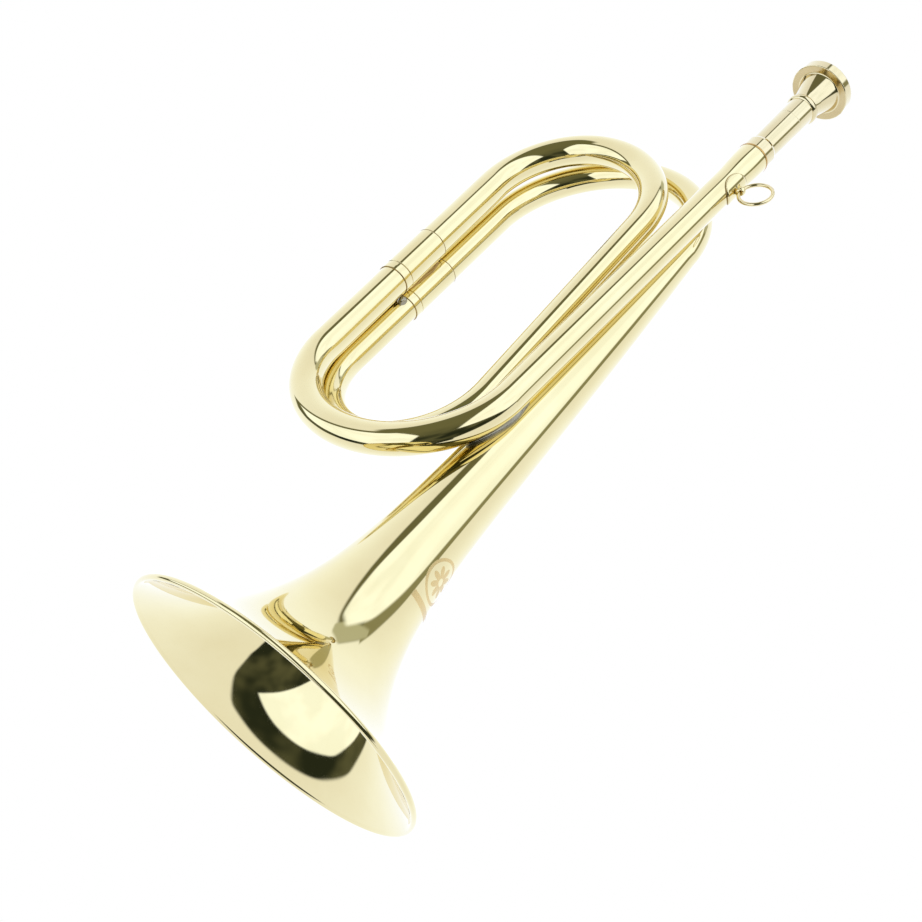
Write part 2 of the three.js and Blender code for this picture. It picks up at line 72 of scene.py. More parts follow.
# along the leadpipe's axis, from LEAD_FOOT
LEAD_FLARE, LEAD_SOCKET, LEAD_END = 150.5, 159.5, 165.2
SOCKET_R = 7.1
SLEEVE_MOUTH, SLEEVE_R = 173.6, 6.85
CUP_FOOT, RIM_BACK, RIM_THICK, RIM_R = 204.6, 220.6, 5.1, 13.2
SLING_AT, SLING_R, SLING_WIRE = 143.5, 6.9, 0.8
EYELET_OUT = 8.5
PLATE_LENGTH, PLATE_ANGLE = 7.0, math.radians(60)  # halves

UP = Vector((0, 0, 1))
LEAD_AXIS = (LEAD_HEAD - LEAD_FOOT).normalized()
low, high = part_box("bell_flare")
SHIFT = Vector(((low.x + high.x) * 500, (low.y + high.y) * 500, 0))


def place(p):
    """A point of the bell's own frame, in millimetres, as a point of the shared frame, in metres."""
    return (Vector(p) + SHIFT) / 1000


# ---- Mesh making ----
def new_object(name, verts, faces, uvs=None):
    mesh = bpy.data.meshes.new(name)
    mesh.from_pydata([tuple(v) for v in verts], [], faces)
    if uvs is not None:
        uv_map = mesh.uv_layers.new(name="UVMap")
        for loop, uv in zip(uv_map.data, uvs):
            loop.uv = uv
    mesh.validate()
    mesh.update()
    mesh.polygons.foreach_set("use_smooth", [True] * len(mesh.polygons))
    ob = bpy.data.objects.new(name, mesh)
    bpy.context.scene.collection.objects.link(ob)
    return ob


def loft(rings, closed=False):
    """Points, faces and UVs of a stack of rings. Each ring is (points, v); u runs round the ring."""
    n = len(rings[0][0])
    verts = [p for pts, _ in rings for p in pts]
    faces, uvs = [], []
    for j in range(len(rings) if closed else len(rings) - 1):
        k = (j + 1) % len(rings)
        v0, v1 = rings[j][1], rings[k][1]
        if k == 0:
            v1 = v0 + 0.001
        for i in range(n):
            i2 = (i + 1) % n
            faces.append((j * n + i, j * n + i2, k * n + i2, k * n + i))
            uvs += [(i / n, v0), ((i + 1) / n, v0), ((i + 1) / n, v1), (i / n, v1)]
    return verts, faces, uvs


def frame_of(axis):
    side = Vector((0, 1, 0))
    side = (side - axis * side.dot(axis)).normalized()
    return side, axis.cross(side)


def ring(at, axis, radius, sides):
    side, other = frame_of(axis)
    return [
        place(at + side * radius * math.cos(a) - other * radius * math.sin(a))
        for a in (2 * math.pi * i / sides for i in range(sides))
    ]


def supported(outline):
    """Adds points close to the ends of long segments, so that a smooth shade stays within its corner."""
    long_segment, inset = 0.5, 0.06
    out = []
    for i, a in enumerate(outline):
        out.append(a)
        b = outline[(i + 1) % len(outline)]
        length = math.dist(a, b)
        if length > long_segment:
            for t in (inset / length, 1 - inset / length):
                out.append((a[0] + (b[0] - a[0]) * t, a[1] + (b[1] - a[1]) * t))
    return out


def lathe(name, origin, axis, outline, sides=96):
    """Revolves a closed outline of (radius, distance along the axis) points."""
    outline = supported(outline)
    smallest = 0.02
    rings, v = [], 0.0
    for i, (radius, height) in enumerate(outline):
        if i:
            v += math.dist(outline[i - 1], outline[i]) / 1000
        rings.append((ring(origin + axis * height, axis, max(radius, smallest), sides), v))
    return new_object(name, *loft(rings, True))


def bezier(p0, p1, p2, p3, t):
    s = 1 - t
    at = p0 * s**3 + p1 * 3 * s * s * t + p2 * 3 * s * t * t + p3 * t**3
    along = (p1 - p0) * s * s + (p2 - p1) * 2 * s * t + (p3 - p2) * t * t
    return at, along.normalized()


def bow(a, a_dir, b, b_dir, depth, steps=60):
    """Stations on a U-bend: two quarters that leave each straight run along its own direction."""
    k = 0.5523  # makes a Bezier curve follow a quarter of a circle
    outward = (a_dir - b_dir).normalized()
    across = (b - a) * 0.5
    top = a + across + outward * depth
    quarters = (
        (a, a + a_dir * k * depth, top - across * k, top),
        (top, top + across * k, b - b_dir * k * depth, b),
    )
    return [bezier(*q, (i + 1) / steps) for q in quarters for i in range(steps)]


def run(a, b, steps):
    """Stations on a straight run, both ends included."""
    along = (b - a).normalized()
    return [(a.lerp(b, i / steps), along) for i in range(steps + 1)]


def at_height(a, b, z):
    return a.lerp(b, (z - a.z) / (b.z - a.z))


def taper(stations, r0, r1):
    n = max(len(stations) - 1, 1)
    return [(p, d, r0 + (r1 - r0) * i / n) for i, (p, d) in enumerate(stations)]


def tube(name, stations):
    """The skin of a tube through (point, direction, outer radius). Its ends are inside other pieces."""
    sides = 144
    rings, v = [], 0.0
    for i, (p, d, r) in enumerate(stations):
        if i:
            v += (p - stations[i - 1][0]).length / 1000
        rings.append((ring(p, d, r, sides), v))
    return new_object(name, *loft(rings))


def round_profile(points, radius, steps=4):
    """An outline with every corner rounded. Used on (radius, height) outlines of turned pieces."""
    out = []
    n = len(points)
    for i in range(n):
        a, b, c = Vector(points[i - 1]), Vector(points[i]), Vector(points[(i + 1) % n])
        r = min(radius, (a - b).length * 0.45, (c - b).length * 0.45)
        p, q = b + (a - b).normalized() * r, b + (c - b).normalized() * r
        for k in range(steps + 1):
            t = k / steps
            m = p * (1 - t) ** 2 + b * 2 * t * (1 - t) + q * t * t
            out.append((m.x, m.y))
    return out


# ---- Bell ----
def bell_r(z):
    swell = SWELL * (1 - (max(z, 0) / TAIL_TOP) ** TAIL_POWER)
    return TAIL_R + swell + (MOUTH_R - TAIL_R - SWELL) * math.exp(-z / DECAY)


def bell_inside(z):
    slope = (bell_r(z + 0.01) - bell_r(z - 0.01)) / 0.02
    length = math.hypot(1, slope)
    return bell_r(z) - SHEET / length, z + SHEET * slope / length


def make_bell():
    """The flare with its rolled bead, the tail and the rear top bow, brazed and polished as one."""
    sides, crowd = 160, 1.6
    skin_foot, lining_foot, lining_top = 1.42, 0.72, 255
    bead_start, bead_turn, bead_steps = -112, 287, 26  # in degrees
    centre = MOUTH_R - BEAD_R
    inner = [bell_inside(lining_top - (lining_top - HORN_JOIN) * i / 40) for i in range(41)]
    inner += [bell_inside(HORN_JOIN * (1 - i / 90) ** crowd) for i in range(1, 90)]
    inner = [p for p in inner if p[1] > lining_foot]
    angles = [math.radians(bead_start + bead_turn * i / bead_steps) for i in range(bead_steps + 1)]
    bead = [(centre + BEAD_R * math.cos(a), BEAD_R + BEAD_R * math.sin(a)) for a in angles]
    heights = [skin_foot + (HORN_JOIN - skin_foot) * (i / 100) ** crowd for i in range(101)]
    outer = [(bell_r(z), z) for z in heights]
    rings, v, last = [], 0.0, None
    for r, z in inner + bead + outer:
        if last:
            v += math.dist(last, (r, z)) / 1000
        last = (r, z)
        rings.append((ring(Vector((0, 0, z)), UP, r, sides), v))
    tail = run(UP * (HORN_JOIN + 3), TAIL_HEAD, 40)
    down = (REAR_LOW - REAR_HIGH).normalized()
    over = taper(bow(TAIL_HEAD, UP, REAR_HIGH, down, BELL_BOW), TAIL_R, REAR_R)
    end = at_height(REAR_LOW, REAR_HIGH, FERRULE_HIGH - 2)
    stations = [(p, d, bell_r(p.z)) for p, d in tail] + over
    stations += [(p, d, REAR_R) for p, d in run(REAR_HIGH, end, 12)[1:]]
    last = stations[0][0]
    for p, d, r in stations:
        v += (p - last).length / 1000
        last = p
        rings.append((ring(p, d, r, sides), v))
    return new_object("bell_horn", *loft(rings))


def make_loop():
    """The bent tube between the ferrules: rear bottom bow, inner straight and front top bow."""
    rear_down = (REAR_LOW - REAR_HIGH).normalized()
    mid_up = (MIDDLE_HIGH - MIDDLE_LOW).normalized()
    front_down = (FRONT_LOW - FRONT_HIGH).normalized()
    start = at_height(REAR_LOW, REAR_HIGH, FERRULE_LOW + 2)
    end = at_height(FRONT_LOW, FRONT_HIGH, FERRULE_HIGH - 2)
    stations = taper(run(start, REAR_LOW, 8), REAR_R, REAR_R)
    stations += taper(bow(REAR_LOW, rear_down, MIDDLE_LOW, mid_up, LOOP_LOW_BOW), REAR_R, MIDDLE_R)
    stations += taper(run(MIDDLE_LOW, MIDDLE_HIGH, 20)[1:], MIDDLE_R, MIDDLE_R)
    stations += taper(bow(MIDDLE_HIGH, mid_up, FRONT_HIGH, front_down, LOOP_TOP_BOW), MIDDLE_R, FRONT_R)
    stations += taper(run(FRONT_HIGH, end, 8)[1:], FRONT_R, FRONT_R)
    return tube("loop_pipe", stations)


def along_lead(s):
    return LEAD_FOOT + LEAD_AXIS * s


def lead_bow():
    down = (FRONT_LOW - FRONT_HIGH).normalized()
    return bow(FRONT_LOW, down, LEAD_FOOT, LEAD_AXIS, LEAD_BOW)


def make_lead():
    """The front bottom bow and the leadpipe, which widens into the receiver's socket."""
    start = at_height(FRONT_LOW, FRONT_HIGH, FERRULE_LOW + 2)
    stations = taper(run(start, FRONT_LOW, 8), FRONT_R, FRONT_R)
    stations += taper(lead_bow(), FRONT_R, LEAD_R)
    for i in range(1, 61):
        s = LEAD_END * i / 60
        t = min(max((s - LEAD_FLARE + 6) / (LEAD_SOCKET - LEAD_FLARE + 10), 0), 1)
        radius = LEAD_R + (SOCKET_R - LEAD_R) * t * t * (3 - 2 * t)
        stations.append((along_lead(s), LEAD_AXIS, radius))
    return tube("lead_pipe", stations)


def make_ferrule(name, a, b, radius):
    """A sleeve with a fine groove at the top of its lower band, a small chamfer at its foot and a bevelled
    upper end.
    """
    axis = (b - a).normalized()
    out, length = radius + PROUD, FERRULE_HIGH - FERRULE_LOW
    groove = FERRULE_GROOVE - FERRULE_LOW
    g, d = 0.24, 0.3
    outline = [
        (radius - 0.2, 0),
        (out - 0.05, 0),
        (out, 0.25),
        (out + 0.03, groove * 0.5),
        (out, groove - g),
        (out - d, groove - g * 0.4),
        (out - d, groove + g * 0.4),
        (out, groove + g),
        (out, length - 0.35),
        (out - 0.12, length),
        (radius - 0.2, length),
    ]
    return lathe(name, at_height(a, b, FERRULE_LOW), axis, round_profile(outline, 0.08, 3))


def make_hairlines(name, a, b, radius):
    """The thin lines of braze at both ends of a ferrule and in its groove."""
    axis = (b - a).normalized()
    x, y = frame_of(axis)
    sides, around = 128, 8
    lines = [(FERRULE_LOW, PROUD / 2, 0.2), (FERRULE_GROOVE, 0.0, 0.14), (FERRULE_HIGH, PROUD / 2, 0.16)]
    verts, faces = [], []
    for height, proud, thick in lines:
        centre = at_height(a, b, height)
        first = len(verts)
        for i in range(sides):
            t = 2 * math.pi * i / sides
            out = x * math.cos(t) + y * math.sin(t)
            for j in range(around):
                q = 2 * math.pi * j / around
                reach = radius + proud + thick * math.cos(q)
                verts.append(place(centre + out * reach + axis * thick * math.sin(q)))
        for i in range(sides):
            here, there = first + i * around, first + (i + 1) % sides * around
            for j in range(around):
                m = (j + 1) % around
                faces.append([here + j, there + j, there + m, here + m])
    uvs = [(0.05 * (v % around), v * 0.001) for face in faces for v in face]
    return new_object(name, verts, faces, uvs)


def make_receiver_ring():
    inner, outer = SOCKET_R - 0.75, SOCKET_R + 0.1
    foot = LEAD_END + 0.12
    head = foot + 1.1
    outline = [(inner, foot), (outer, foot), (outer, head), (inner, head)]
    return lathe("receiver_band", LEAD_FOOT, LEAD_AXIS, round_profile(outline, 0.25))


def make_sleeve():
    """The short sleeve with a bevelled mouth that holds the mouthpiece."""
    bore, seat, neck = 5.6, 6.12, 6.2
    foot, step, lip = LEAD_END - 6, LEAD_END + 1.3, SLEEVE_MOUTH - 0.1
    outline = [
        (bore, foot),
        (neck, foot),
        (neck, step),
        (SLEEVE_R, step),
        (SLEEVE_R, SLEEVE_MOUTH - 1.5),
        (6.3, lip),
        (seat, lip),
        (seat, SLEEVE_MOUTH - 2.5),
        (bore, SLEEVE_MOUTH - 9),
    ]
    return lathe("receiver_socket", LEAD_FOOT, LEAD_AXIS, round_profile(outline, 0.14, 3))


def make_shank():
    """The mouthpiece's shank, with a fine turned groove below the bead."""
    top = CUP_FOOT + 0.3
    outline = [(4.2, 151), (5.1, 151), (6.0, SLEEVE_MOUTH), (6.08, SLEEVE_MOUTH + 6)]
    outline += [(6.26, top - 10.6), (6.2, top - 10.5), (6.2, top - 10.35), (6.26, top - 10.25)]
    outline += [(6.3, top), (2.4, top)]
    return lathe("mouthpiece_stem", LEAD_FOOT, LEAD_AXIS, outline)


def make_cup():
    """The turned bowl: a bead at its foot, a concave flank, a flat-banded rim and the cup inside."""
    front = RIM_BACK + RIM_THICK
    bead_mid, bead_half = CUP_FOOT + 1.7, 1.5
    foot_r, bead_r, bead_out = 6.28, 6.2, 1.0
    flank_r, flank_flare, flank_power = 6.1, 3.4, 1.45
    throat, lip_r, lip_drop, bowl_r, bowl_deep = 1.9, 8.3, 0.9, 8.2, 8.4
    outline = [(throat, CUP_FOOT - 0.15), (foot_r, CUP_FOOT - 0.15), (foot_r, bead_mid - bead_half - 0.05)]
    outline += [
        (bead_r + bead_out * math.cos(a), bead_mid + bead_half * math.sin(a))
        for a in (math.radians(degrees) for degrees in range(-84, 85, 12))
    ]
    start = bead_mid + bead_half + 0.1
    outline += [(flank_r, start)]
    for i in range(1, 33):
        t = i / 32
        outline.append((flank_r + flank_flare * t**flank_power, start + (RIM_BACK - start - 0.3) * t))
    outline += [(9.7, RIM_BACK - 0.06), (10.0, RIM_BACK)]
    outline += [(RIM_R - 0.35, RIM_BACK)]
    outline += [(RIM_R - 0.1, RIM_BACK + 0.1), (RIM_R, RIM_BACK + 0.35)]
    outline += [(RIM_R, front - lip_drop)]
    half = (RIM_R - lip_r) / 2
    for i in range(1, 13):
        a = math.pi * i / 12
        outline.append((lip_r + half + half * math.cos(a), front - lip_drop + lip_drop * math.sin(a)))
    for i in range(1, 17):
        a = math.radians(82 * i / 16)
        outline.append((bowl_r * math.cos(a), front - 1.1 - bowl_deep * math.sin(a)))
    outline += [(throat, front - 10.4)]
    bowl = lathe("mouthpiece_bowl", LEAD_FOOT, LEAD_AXIS, outline, 128)
    low_at, high_at = place(along_lead(RIM_BACK - 0.05)), place(along_lead(RIM_BACK + 0.05))
    for face in bowl.data.polygons:
        far = (face.center - low_at).dot(LEAD_AXIS)
        near = (high_at - face.center).dot(LEAD_AXIS)
        radius = ((face.center - low_at) - LEAD_AXIS * far).length * 1000
        if far > 0 and near > 0 and radius > 9.9:
            face.material_index = 1
    return bowl


# ---- Sling ring and saddle: x points away from the leadpipe, z along it ----
def lead_matrix(s):
    turn = UP.rotation_difference(LEAD_AXIS).to_matrix()
    return lambda p: place(along_lead(s) + turn @ Vector(p))


def on_plate(u, w, radius):
    """A point of the oval plate, from u and w of -1 to 1 round and along the leadpipe."""
    turn = u * math.sqrt(1 - w * w / 2) * PLATE_ANGLE
    height = w * math.sqrt(1 - u * u / 2) * PLATE_LENGTH
    return Vector((radius * math.cos(turn), radius * math.sin(turn), height))


def make_saddle():
    """A thin oval plate bent round the leadpipe, with rounded edges."""
    to = lead_matrix(SLING_AT)
    rows, cols, inner, thick = 28, 40, LEAD_R + 0.02, 0.62
    verts, faces = [], []
    for side in (0, 1):
        for j in range(rows + 1):
            for i in range(cols + 1):
                u, w = 2 * i / cols - 1, 2 * j / rows - 1
                edge = min(1.0, (1 - max(abs(u), abs(w))) * 9)
                r = inner + (thick * math.sqrt(max(0.0, 1 - (1 - edge) ** 2)) if side else 0)
                verts.append(to(on_plate(u, w, r)))
    stride = (rows + 1) * (cols + 1)
    for j in range(rows):
        for i in range(cols):
            a = j * (cols + 1) + i
            b, c, d = a + 1, a + cols + 2, a + cols + 1
            faces.append((stride + a, stride + b, stride + c, stride + d))
    return new_object("sling_plate", verts, faces)


def make_plate_seam():
    """The dark line of braze that shows round the edge of the plate."""
    to = lead_matrix(SLING_AT)
    n, radius, thick, wide = 96, LEAD_R + 0.12, 0.2, 0.26
    path = []
    for k in range(n):
        q = 2 * math.pi * k / n
        big = max(abs(math.cos(q)), abs(math.sin(q)))
        path.append(on_plate(math.cos(q) / big, math.sin(q) / big, radius))
    rings = []
    for k, p in enumerate(path):
        t = (path[(k + 1) % n] - path[k - 1]).normalized()
        out = Vector((p.x, p.y, 0)).normalized()
        side = t.cross(out).normalized()
        pts = []
        for i in range(12):
            a = 2 * math.pi * i / 12
            pts.append(to(p + out * thick * math.cos(a) + side * wide * math.sin(a)))
        rings.append((pts, k / n * 0.04))
    return new_object("sling_plate_seam", *loft(rings, True))


def make_eyelet():
    """A small pierced lug of round wire: a half turn of wire with its two feet on the plate."""
    to = lead_matrix(SLING_AT)
    wire, broad, hole, flat = 0.75, 1.05, 1.1, 0.55
    foot, reach = LEAD_R + 0.2, hole + wire * flat
    path = [(foot, -hole - wire)]
    path += [
        (EYELET_OUT + reach * math.cos(a), reach * math.sin(a))
        for a in (math.radians(-115 + 230 * i / 28) for i in range(29))
    ]
    path += [(foot, hole + wire)]
    rings, n = [], len(path)
    for k, (x, y) in enumerate(path):
        a, b = path[max(k - 1, 0)], path[min(k + 1, n - 1)]
        t = Vector((b[0] - a[0], b[1] - a[1], 0)).normalized()
        out = Vector((t.y, -t.x, 0))
        pts = []
        for i in range(24):
            q = 2 * math.pi * i / 24
            pts.append(to(Vector((x, y, 0)) + out * wire * flat * math.cos(q) + UP * broad * math.sin(q)))
        rings.append((pts, k / n * 0.006))
    return new_object("sling_eyelet", *loft(rings))


def make_ring():
    """The round wire ring, which at rest lies in one plane with the leadpipe's axis."""
    to = lead_matrix(SLING_AT)
    rings, n = [], 128
    for k in range(n):
        a = 2 * math.pi * k / n
        mid = Vector((EYELET_OUT + SLING_R - SLING_R * math.cos(a), 0, SLING_R * math.sin(a)))
        out = Vector((-math.cos(a), 0, math.sin(a)))
        pts = []
        for i in range(28):
            q = 2 * math.pi * i / 28
            across = Vector((0, SLING_WIRE * math.sin(q), 0))
            pts.append(to(mid + out * SLING_WIRE * math.cos(q) + across))
        rings.append((pts, k / n * 0.043))
    return new_object("sling_loop", *loft(rings, True))


# ---- Solder ----
def drop_spine(centre, half_height):
    return [Vector(centre) - UP * half_height, Vector(centre) + UP * half_height]


def fillet_spine():
    """Points just in front of the line where the front bow passes the bell tail, from below upwards."""
    first, skin, forward = 95, LEAD_R + 0.4, Vector((2.0, 0.6, 0))  # first is a station of the bow
    line = [p for p, _ in lead_bow()[first:]] + [along_lead(s) for s in range(1, 8)]
    return [p - Vector((p.x, p.y, 0)).normalized() * skin + forward for p in line]


def make_solder(name, spine, half, seed):
    """Soft solder with a slightly lumpy, drawn-out skin, round a line of points."""
    rng = random.Random(seed)
    waves = [(rng.uniform(1, 3.4), rng.uniform(0, 6.3), rng.choice((2, 3, 4, 5))) for _ in range(5)]
    rings, rows, sides, lumps = [], 40, 48, 0.16
    for j in range(rows + 1):
        phi = -math.pi / 2 + math.pi * j / rows
        reach = (1 + math.sin(phi)) / 2 * (len(spine) - 1)
        part = min(int(reach), len(spine) - 2)
        at = spine[part].lerp(spine[part + 1], reach - part)
        pts = []
        for i in range(sides):
            th = 2 * math.pi * i / sides
            swell = sum(math.sin(f * phi * 2 + p) * math.cos(n * th + p) for f, p, n in waves) / 5
            k = (1 + lumps * swell) * max(math.cos(phi), 0.004)
            pts.append(place(at + Vector((half[0] * k * math.cos(th), half[1] * k * math.sin(th), 0))))
        rings.append((pts, j / rows * 0.01))
    return new_object(name, *loft(rings))


# ---- Materials ----
ETCHED, ETCHED_ROUGH = (0.736, 0.542, 0.209), 0.36


def node(tree, kind, **sockets):
    n = tree.nodes.new(kind)
    for key, value in sockets.items():
        n.inputs[key.replace("_", " ")].default_value = value
    return n


def math_node(tree, operation, *values):
    n = tree.nodes.new("ShaderNodeMath")
    n.operation = operation
    for socket, value in zip(n.inputs, values):
        if isinstance(value, (int, float)):
            socket.default_value = value
        else:
            tree.links.new(value, socket)
    return n.outputs["Value"]


def dot_node(tree, vector, direction):
    n = tree.nodes.new("ShaderNodeVectorMath")
    n.operation = "DOT_PRODUCT"
    n.inputs[1].default_value = direction
    tree.links.new(vector, n.inputs[0])
    return n.outputs["Value"]


def range_node(tree, value, start, end, low=0.0, high=1.0, kind="LINEAR"):
    n = tree.nodes.new("ShaderNodeMapRange")
    n.interpolation_type = kind
    ends = {"From Min": start, "From Max": end, "To Min": low, "To Max": high}
    for key, number in ends.items():
        n.inputs[key].default_value = number
    tree.links.new(value, n.inputs["Value"])
    return n.outputs["Result"]


def smooth_node(tree, value, start, end):
    return range_node(tree, value, start, end, kind="SMOOTHSTEP")


def noise_node(tree, vector, scale, detail, roughness):
    n = node(tree, "ShaderNodeTexNoise", Scale=scale, Detail=detail, Roughness=roughness)
    tree.links.new(vector, n.inputs["Vector"])
    return n.outputs["Fac"]


def layer(tree, under, over, mask):
    """The colour over, where the mask is 1, on top of the colour under."""
    mix = tree.nodes.new("ShaderNodeMix")
    mix.data_type = "RGBA"
    tree.links.new(mask, mix.inputs["Factor"])
    for socket, value in ((mix.inputs[6], under), (mix.inputs[7], over)):
        if isinstance(value, tuple):
            socket.default_value = (*value, 1)
        else:
            tree.links.new(value, socket)
    return mix.outputs[2]


def ornament_mask(tree, position):
    """1 where the bell is etched: a rosette of eight petals in a ring, with a plain band below it."""
    axis_x, turn, radius, middle = SHIFT.x / 1000, math.radians(4), 17.5, 71.5
    petal_length, petal_root, eye, hoop_r, band_drop, band_half = 3.4, 2.6, 1.3, 8.2, 12.0, 8.4
    part = tree.nodes.new("ShaderNodeSeparateXYZ")
    tree.links.new(position, part.inputs["Vector"])
    across = math_node(tree, "SUBTRACT", part.outputs["X"], axis_x)
    around = math_node(tree, "ARCTAN2", part.outputs["Y"], across)
    u = math_node(tree, "MULTIPLY", math_node(tree, "SUBTRACT", around, turn), radius)
    v = math_node(tree, "MULTIPLY_ADD", part.outputs["Z"], 1000.0, -middle)
    rho = math_node(tree, "SQRT", math_node(tree, "MULTIPLY_ADD", u, u, math_node(tree, "MULTIPLY", v, v)))
    phi = math_node(tree, "ARCTAN2", v, u)
    wave = math_node(tree, "ABSOLUTE", math_node(tree, "COSINE", math_node(tree, "MULTIPLY", phi, 4.0)))
    edge = math_node(tree, "MULTIPLY_ADD", wave, petal_length, petal_root)
    petals = smooth_node(tree, math_node(tree, "SUBTRACT", rho, edge), 0.12, -0.12)
    petals = math_node(tree, "MULTIPLY", petals, smooth_node(tree, rho, eye, 1.6))
    hoop = math_node(tree, "ABSOLUTE", math_node(tree, "SUBTRACT", rho, hoop_r))
    hoop = smooth_node(tree, hoop, 0.75, 0.5)
    band = math_node(tree, "ABSOLUTE", math_node(tree, "ADD", v, band_drop))
    band = smooth_node(tree, band, 1.5, 1.25)
    reach = smooth_node(tree, math_node(tree, "ABSOLUTE", u), band_half, 8.1)
    band = math_node(tree, "MULTIPLY", band, reach)
    return math_node(tree, "MAXIMUM", band, math_node(tree, "MAXIMUM", petals, hoop))


def metal(name, light, deep, rough=(0.02, 0.06), grain=(60, 6), fine=0.015, coat=0.2, etched=False):
    """Brass with slow changes of colour, fine draw lines along its UVs and a faint orange-peel skin."""
    mat = bpy.data.materials.new(name)
    mat.use_nodes = True
    tree = mat.node_tree
    tree.nodes.clear()
    out = tree.nodes.new("ShaderNodeOutputMaterial")
    bsdf = tree.nodes.new("ShaderNodeBsdfPrincipled")
    link = tree.links.new
    link(bsdf.outputs["BSDF"], out.inputs["Surface"])
    bsdf.inputs["Metallic"].default_value = 1.0
    bsdf.inputs["Coat Weight"].default_value = coat
    bsdf.inputs["Coat Roughness"].default_value = 0.03
    bsdf.inputs["Coat Tint"].default_value = (1.0, 0.97, 0.86, 1)
    coord = tree.nodes.new("ShaderNodeTexCoord")
    point = coord.outputs["Object"]
    # slow colour variation
    ramp = tree.nodes.new("ShaderNodeValToRGB")
    for stop, position, shade in zip(ramp.color_ramp.elements, (0.32, 0.66), (deep, light)):
        stop.position = position
        stop.color = (*shade, 1)
    link(noise_node(tree, point, 38.0, 4.0, 0.55), ramp.inputs["Fac"])
    color = ramp.outputs["Color"]
    # fine lines left by drawing and buffing
    stretch = node(tree, "ShaderNodeMapping")
    stretch.inputs["Scale"].default_value = (grain[0], grain[1], 1)
    link(coord.outputs["UV"], stretch.inputs["Vector"])
    lines = noise_node(tree, stretch.outputs["Vector"], 3.0, 5.0, 0.65)
    smudge = noise_node(tree, point, 95.0, 3.0, 0.6)
    gloss = range_node(tree, math_node(tree, "MULTIPLY", lines, smudge), 0.1, 0.42, *rough)
    if etched:
        mask = ornament_mask(tree, point)
        color = layer(tree, color, ETCHED, mask)
        gloss = math_node(tree, "MULTIPLY_ADD", mask, ETCHED_ROUGH, gloss)
    link(color, bsdf.inputs["Base Color"])
    link(gloss, bsdf.inputs["Roughness"])
    # skin: slow waves left by hand buffing, under a faint orange peel and the draw lines
    peel = noise_node(tree, point, 420.0, 2.0, 0.5)
    wave = noise_node(tree, point, 55.0, 1.0, 0.4)
    height = math_node(tree, "MULTIPLY_ADD", peel, fine, wave)
    height = math_node(tree, "MULTIPLY_ADD", lines, fine, height)
    skin = node(tree, "ShaderNodeBump", Strength=0.4, Distance=0.0001)
    link(height, skin.inputs["Height"])
    link(skin.outputs["Normal"], bsdf.inputs["Normal"])
    return mat


def use(ob, mats, body, slot, *nodes):
    """Gives a piece its materials and body, and hides the CAD nodes that it stands for. The slot is not
    used.
    """
    for mat in mats:
        ob.data.materials.append(mat)
    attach(ob, body)
    if nodes:
        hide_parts(*nodes)


POLISHED = metal("polished_brass", (0.82, 0.7, 0.34), (0.787, 0.659, 0.305), (0.035, 0.075))
BELL = metal("bell_brass", (0.82, 0.7, 0.34), (0.787, 0.659, 0.305), etched=True)
TURNED = metal("turned_brass", (0.78, 0.655, 0.345), (0.73, 0.608, 0.3), (0.05, 0.1), (2, 900), 0.02)
SATIN = metal("satin_brass", (0.66, 0.519, 0.24), (0.566, 0.424, 0.178), (0.14, 0.22), (2, 200), 0.04)
GOLD = metal("golden_band", (0.585, 0.361, 0.093), (0.471, 0.262, 0.054), (0.14, 0.25), (2, 900), 0.1)
WIRE = metal("drawn_wire", (0.811, 0.668, 0.325), (0.736, 0.596, 0.271), (0.08, 0.16), (20, 20), 0.06)
SEAM = metal("seam_line", (0.471, 0.343, 0.124), (0.321, 0.217, 0.062), (0.25, 0.45), (6, 30), 0.15, 0.0)
BRAZE = metal("braze_fillet", (0.434, 0.271, 0.07), (0.245, 0.135, 0.031), (0.10, 0.20), (6, 30), 0.05, 0.0)
SOLDER = metal("soft_solder", (0.377, 0.334, 0.209), (0.226, 0.19, 0.108), (0.22, 0.36), (3, 12), 0.1, 0.0)

use(make_bell(), (BELL,), "body", "polished_brass", "bell_flare", "bell_tail", "rear_top_bow")
loop_nodes = ("rear_bottom_bow", "middle_straight", "front_top_bow")
use(make_loop(), (POLISHED,), "body", "polished_brass", *loop_nodes)
use(make_lead(), (POLISHED,), "body", "polished_brass", "front_bottom_bow", "leadpipe")
branches = (("front", FRONT_LOW, FRONT_HIGH, FRONT_R), ("rear", REAR_LOW, REAR_HIGH, REAR_R))
for end, *branch in branches:
    sleeve = make_ferrule(end + "_sleeve", *branch)
    use(sleeve, (POLISHED,), "body", "polished_brass", end + "_ferrule")
for end, *branch in branches:
    use(make_hairlines(end + "_sleeve_lines", *branch), (SEAM,), "body", "polished_brass")
use(make_receiver_ring(), (GOLD,), "body", "golden_brass", "receiver_ring")
use(make_sleeve(), (TURNED,), "body", "polished_brass", "receiver_sleeve")
use(make_shank(), (TURNED,), "mouthpiece", "polished_brass", "mouthpiece_shank")
use(make_cup(), (TURNED, SATIN), "mouthpiece", "polished_brass", "mouthpiece_cup")
use(make_saddle(), (POLISHED,), "body", "polished_brass", "sling_saddle")
use(make_plate_seam(), (SEAM,), "body", "polished_brass")
use(make_eyelet(), (POLISHED,), "body", "polished_brass")
use(make_ring(), (WIRE,), "sling_ring", "polished_brass", "sling_ring")
fillet = make_solder("fillet_leadpipe", fillet_spine(), half=(2.2, 2.4), seed=3)
seam = make_solder("seam_ferrules", drop_spine((-92.2, -7.3, 197), 11), half=(1.9, 2.2), seed=5)
drop = make_solder("drop_ferrules", drop_spine((-89.7, -7.3, 179.9), 2.5), half=(1.8, 2.1), seed=8)
use(fillet, (SOLDER,), "body", "solder", "solder_leadpipe")
use(seam, (BRAZE,), "body", "solder", "solder_ferrules")
use(drop, (SOLDER,), "body", "solder", "solder_bead")
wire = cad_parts["bell_rim_wire"]
wire.data.materials.clear()
wire.data.materials.append(WIRE)

